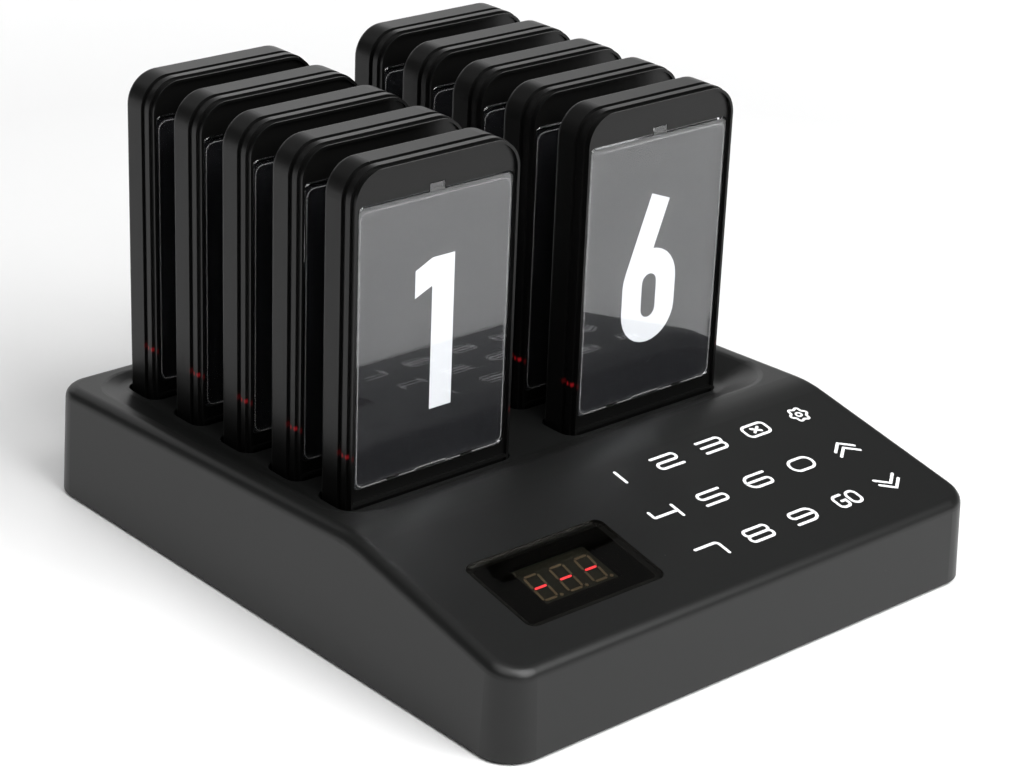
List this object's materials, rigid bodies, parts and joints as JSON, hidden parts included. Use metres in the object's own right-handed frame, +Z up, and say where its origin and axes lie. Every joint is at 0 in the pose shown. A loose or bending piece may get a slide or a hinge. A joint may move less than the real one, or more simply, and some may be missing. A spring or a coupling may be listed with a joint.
{
  "type": "guest pager system",
  "caption": "Counter charging base with a sloping touch keypad and a digit display, holding rows of lift-out guest pagers.",
  "frame": {"origin": "on the counter, under the middle of the charging base", "axes": "+Z up, -Y towards the keypad and the person using it, +X to that person's right"},
  "size_m": [0.19, 0.2214, 0.1377],
  "materials": {
    "housing": "fine textured black moulding",
    "cover": "fine textured black moulding",
    "foot": "matte",
    "screw": "zinc plated",
    "circuit_board": "solder mask",
    "contact": "gold plated",
    "display_lens": "smoked and polished",
    "display_block": "dark face with light segments",
    "shield": "tin plated",
    "component": "moulded",
    "rocker": "polished, marked I and O",
    "ribbon": "satin",
    "pager_rear": "satin",
    "pager_front": "satin gloss",
    "pager_window": "clear and polished"
  },
  "bodies": {
    "base": {"top_housing": "housing", "bottom_cover": "cover", "rubber_feet": "foot", "case_screws": "screw", "charging_board_left": "circuit_board", "charging_pins_left": "contact", "charging_board_right": "circuit_board", "charging_pins_right": "contact", "board_screws": "screw", "display_lens": "display_lens", "display_module": "display_block", "touch_board": "circuit_board", "main_board": "circuit_board", "radio_module": "shield", "antenna": "contact", "buzzer": "component", "ribbon_cable": "ribbon", "power_jack": "component", "power_switch_housing": "component"},
    "rocker": {"power_switch_rocker": "rocker"},
    "pager_1": {"pager_1_rear_shell": "pager_rear", "pager_1_front_frame": "pager_front", "pager_1_window": "pager_window", "pager_1_circuit": "circuit_board"},
    "pager_2": {"pager_2_rear_shell": "pager_rear", "pager_2_front_frame": "pager_front", "pager_2_window": "pager_window", "pager_2_circuit": "circuit_board"},
    "pager_3": {"pager_3_rear_shell": "pager_rear", "pager_3_front_frame": "pager_front", "pager_3_window": "pager_window", "pager_3_circuit": "circuit_board"},
    "pager_4": {"pager_4_rear_shell": "pager_rear", "pager_4_front_frame": "pager_front", "pager_4_window": "pager_window", "pager_4_circuit": "circuit_board"},
    "pager_5": {"pager_5_rear_shell": "pager_rear", "pager_5_front_frame": "pager_front", "pager_5_window": "pager_window", "pager_5_circuit": "circuit_board"},
    "pager_6": {"pager_6_rear_shell": "pager_rear", "pager_6_front_frame": "pager_front", "pager_6_window": "pager_window", "pager_6_circuit": "circuit_board"},
    "pager_7": {"pager_7_rear_shell": "pager_rear", "pager_7_front_frame": "pager_front", "pager_7_window": "pager_window", "pager_7_circuit": "circuit_board"},
    "pager_8": {"pager_8_rear_shell": "pager_rear", "pager_8_front_frame": "pager_front", "pager_8_window": "pager_window", "pager_8_circuit": "circuit_board"},
    "pager_9": {"pager_9_rear_shell": "pager_rear", "pager_9_front_frame": "pager_front", "pager_9_window": "pager_window", "pager_9_circuit": "circuit_board"},
    "pager_10": {"pager_10_rear_shell": "pager_rear", "pager_10_front_frame": "pager_front", "pager_10_window": "pager_window", "pager_10_circuit": "circuit_board"}
  },
  "joints": [
    {"name": "pager_1_lift", "type": "slide", "parent": "base", "child": "pager_1", "axis": [0, 0, 1], "range_m": [0, 0.115]},
    {"name": "pager_2_lift", "type": "slide", "parent": "base", "child": "pager_2", "axis": [0, 0, 1], "range_m": [0, 0.115]},
    {"name": "pager_3_lift", "type": "slide", "parent": "base", "child": "pager_3", "axis": [0, 0, 1], "range_m": [0, 0.115]},
    {"name": "pager_4_lift", "type": "slide", "parent": "base", "child": "pager_4", "axis": [0, 0, 1], "range_m": [0, 0.115]},
    {"name": "pager_5_lift", "type": "slide", "parent": "base", "child": "pager_5", "axis": [0, 0, 1], "range_m": [0, 0.115]},
    {"name": "pager_6_lift", "type": "slide", "parent": "base", "child": "pager_6", "axis": [0, 0, 1], "range_m": [0, 0.115]},
    {"name": "pager_7_lift", "type": "slide", "parent": "base", "child": "pager_7", "axis": [0, 0, 1], "range_m": [0, 0.115]},
    {"name": "pager_8_lift", "type": "slide", "parent": "base", "child": "pager_8", "axis": [0, 0, 1], "range_m": [0, 0.115]},
    {"name": "pager_9_lift", "type": "slide", "parent": "base", "child": "pager_9", "axis": [0, 0, 1], "range_m": [0, 0.115]},
    {"name": "pager_10_lift", "type": "slide", "parent": "base", "child": "pager_10", "axis": [0, 0, 1], "range_m": [0, 0.115]},
    {"name": "power_switch", "type": "hinge", "parent": "base", "child": "rocker", "pos_m": [-0.058, 0.10489, 0.01677], "axis": [0, -0.0419, 0.9991], "range_deg": [0, 18]}
  ]
}
